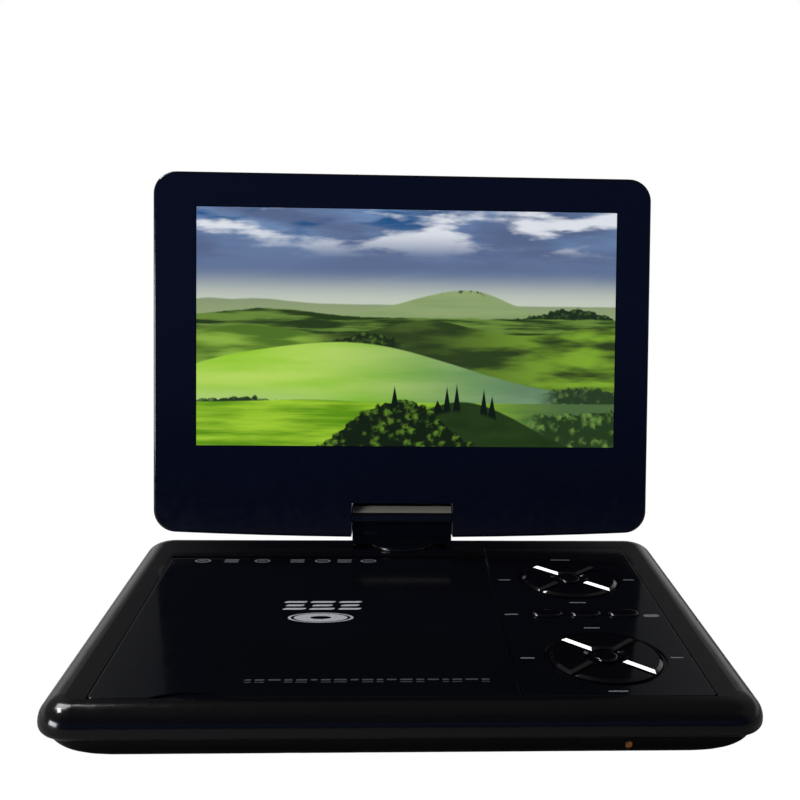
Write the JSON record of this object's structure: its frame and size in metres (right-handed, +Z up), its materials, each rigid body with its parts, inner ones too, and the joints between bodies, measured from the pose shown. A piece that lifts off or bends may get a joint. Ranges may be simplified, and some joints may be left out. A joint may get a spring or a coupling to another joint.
{
  "type": "portable disc player",
  "caption": "Clamshell portable disc player: flat glossy base with disc lid and keys, and a lit wide screen that tilts and turns on a hinge at the rear.",
  "frame": {"origin": "on the table, under the middle of the whole player with its screen up", "axes": "+X across the base to the right, +Y towards the screen, away from the user, +Z up"},
  "size_m": [0.245, 0.2003, 0.1969],
  "materials": {
    "gloss_black": "high gloss moulded plastic",
    "satin_black": "fine satin moulded plastic",
    "key_black": "high gloss",
    "switch_black": "satin",
    "rubber": "matt rubber",
    "screw_steel": "blackened steel",
    "circuit_board": "solder mask",
    "chip_black": "epoxy",
    "dome_steel": "sprung steel",
    "battery_wrap": "shrink wrap",
    "pressed_steel": "zinc plated",
    "motor_steel": "ground steel",
    "hub_plastic": "satin",
    "sled_plastic": "satin",
    "lens_glass": "coated lens",
    "speaker_black": "paper cone and frame",
    "jack_plastic": "satin",
    "socket_steel": "plated",
    "window_amber": "translucent amber",
    "trim_metal": "polished, pale gold",
    "cable_black": "matt sleeve",
    "picture": "lit liquid crystal display",
    "backlight_metal": "folded frame"
  },
  "bodies": {
    "base": {"bottom_case": "satin_black", "top_case": "gloss_black", "control_panel": "gloss_black", "rubber_feet": "rubber", "case_screws": "screw_steel", "main_board": "circuit_board", "board_chips": "chip_black", "key_board": "circuit_board", "key_domes": "dome_steel", "battery_pack": "battery_wrap", "drive_chassis": "pressed_steel", "drive_dampers": "rubber", "spindle_motor": "motor_steel", "guide_rods": "motor_steel", "sled_motor": "motor_steel", "speakers": "speaker_black", "power_jack": "jack_plastic", "video_jack": "jack_plastic", "headphone_jack": "jack_plastic", "usb_socket": "socket_steel", "card_slot": "socket_steel", "ir_window": "window_amber"},
    "lid": {"disc_lid": "gloss_black", "lid_hinge_pins": "motor_steel"},
    "spindle": {"spindle_hub": "hub_plastic", "hub_balls": "motor_steel"},
    "sled": {"laser_sled": "sled_plastic", "pickup_lens": "lens_glass"},
    "screw": {"lead_screw": "motor_steel"},
    "hinge": {"hinge_neck": "gloss_black", "hinge_trim": "trim_metal", "hinge_bracket": "pressed_steel", "swivel_shaft": "pressed_steel", "swivel_nut": "screw_steel", "display_cable": "cable_black"},
    "screen": {"screen_bezel": "gloss_black", "screen_cover": "satin_black", "lcd_panel": "picture", "backlight_unit": "backlight_metal", "lcd_driver_board": "circuit_board", "screen_hinge_plates": "pressed_steel", "tilt_shafts": "pressed_steel", "screen_screws": "screw_steel"},
    "switch": {"power_switch": "switch_black"},
    "upper_pad_right_key": {"upper_pad_right": "key_black"},
    "upper_pad_back_key": {"upper_pad_back": "key_black"},
    "upper_pad_left_key": {"upper_pad_left": "key_black"},
    "upper_pad_front_key": {"upper_pad_front": "key_black"},
    "upper_pad_centre_key": {"upper_pad_centre": "key_black"},
    "lower_pad_right_key": {"lower_pad_right": "key_black"},
    "lower_pad_back_key": {"lower_pad_back": "key_black"},
    "lower_pad_left_key": {"lower_pad_left": "key_black"},
    "lower_pad_front_key": {"lower_pad_front": "key_black"},
    "lower_pad_centre_key": {"lower_pad_centre": "key_black"},
    "oval_button_left_key": {"oval_button_left": "key_black"},
    "oval_button_middle_key": {"oval_button_middle": "key_black"},
    "oval_button_right_key": {"oval_button_right": "key_black"}
  },
  "joints": [
    {"name": "screen_swivel", "type": "hinge", "parent": "base", "child": "hinge", "pos_m": [0, 0.069, 0.022], "axis": [0, 0, 1], "range_deg": [-180, 0]},
    {"name": "screen_tilt", "type": "hinge", "parent": "hinge", "child": "screen", "pos_m": [0, 0.069, 0.0345], "axis": [-1, 0, 0], "range_deg": [-98.7, 81.3]},
    {"name": "lid_open", "type": "hinge", "parent": "base", "child": "lid", "pos_m": [-0.033, 0.045, 0.019], "axis": [-1, 0, 0], "range_deg": [0, 60]},
    {"name": "spindle_spin", "type": "hinge", "parent": "base", "child": "spindle", "pos_m": [-0.033, -0.021, 0.015], "axis": [0, 0, 1], "continuous": true},
    {"name": "sled_slide", "type": "slide", "parent": "base", "child": "sled", "axis": [0, -1, 0], "range_m": [0, 0.034]},
    {"name": "lead_screw_turn", "type": "hinge", "parent": "base", "child": "screw", "pos_m": [-0.007, -0.061, 0.006], "axis": [0, -1, 0], "range_deg": [0, 4082]},
    {"name": "power_switch_slide", "type": "slide", "parent": "base", "child": "switch", "axis": [0, 1, 0], "range_m": [0, 0.003]},
    {"name": "upper_pad_right_press", "type": "slide", "parent": "base", "child": "upper_pad_right_key", "axis": [0, 0, -1], "range_m": [0, 0.0006], "stiffness_N_per_m": 2000},
    {"name": "upper_pad_back_press", "type": "slide", "parent": "base", "child": "upper_pad_back_key", "axis": [0, 0, -1], "range_m": [0, 0.0006], "stiffness_N_per_m": 2000},
    {"name": "upper_pad_left_press", "type": "slide", "parent": "base", "child": "upper_pad_left_key", "axis": [0, 0, -1], "range_m": [0, 0.0006], "stiffness_N_per_m": 2000},
    {"name": "upper_pad_front_press", "type": "slide", "parent": "base", "child": "upper_pad_front_key", "axis": [0, 0, -1], "range_m": [0, 0.0006], "stiffness_N_per_m": 2000},
    {"name": "upper_pad_centre_press", "type": "slide", "parent": "base", "child": "upper_pad_centre_key", "axis": [0, 0, -1], "range_m": [0, 0.0006], "stiffness_N_per_m": 2000},
    {"name": "lower_pad_right_press", "type": "slide", "parent": "base", "child": "lower_pad_right_key", "axis": [0, 0, -1], "range_m": [0, 0.0006], "stiffness_N_per_m": 2000},
    {"name": "lower_pad_back_press", "type": "slide", "parent": "base", "child": "lower_pad_back_key", "axis": [0, 0, -1], "range_m": [0, 0.0006], "stiffness_N_per_m": 2000},
    {"name": "lower_pad_left_press", "type": "slide", "parent": "base", "child": "lower_pad_left_key", "axis": [0, 0, -1], "range_m": [0, 0.0006], "stiffness_N_per_m": 2000},
    {"name": "lower_pad_front_press", "type": "slide", "parent": "base", "child": "lower_pad_front_key", "axis": [0, 0, -1], "range_m": [0, 0.0006], "stiffness_N_per_m": 2000},
    {"name": "lower_pad_centre_press", "type": "slide", "parent": "base", "child": "lower_pad_centre_key", "axis": [0, 0, -1], "range_m": [0, 0.0006], "stiffness_N_per_m": 2000},
    {"name": "oval_button_left_press", "type": "slide", "parent": "base", "child": "oval_button_left_key", "axis": [0, 0, -1], "range_m": [0, 0.0006], "stiffness_N_per_m": 2000},
    {"name": "oval_button_middle_press", "type": "slide", "parent": "base", "child": "oval_button_middle_key", "axis": [0, 0, -1], "range_m": [0, 0.0006], "stiffness_N_per_m": 2000},
    {"name": "oval_button_right_press", "type": "slide", "parent": "base", "child": "oval_button_right_key", "axis": [0, 0, -1], "range_m": [0, 0.0006], "stiffness_N_per_m": 2000}
  ],
  "couplings": [
    {"joint": "lead_screw_turn", "follows": "sled_slide", "rad_per_m": 2094.4}
  ]
}
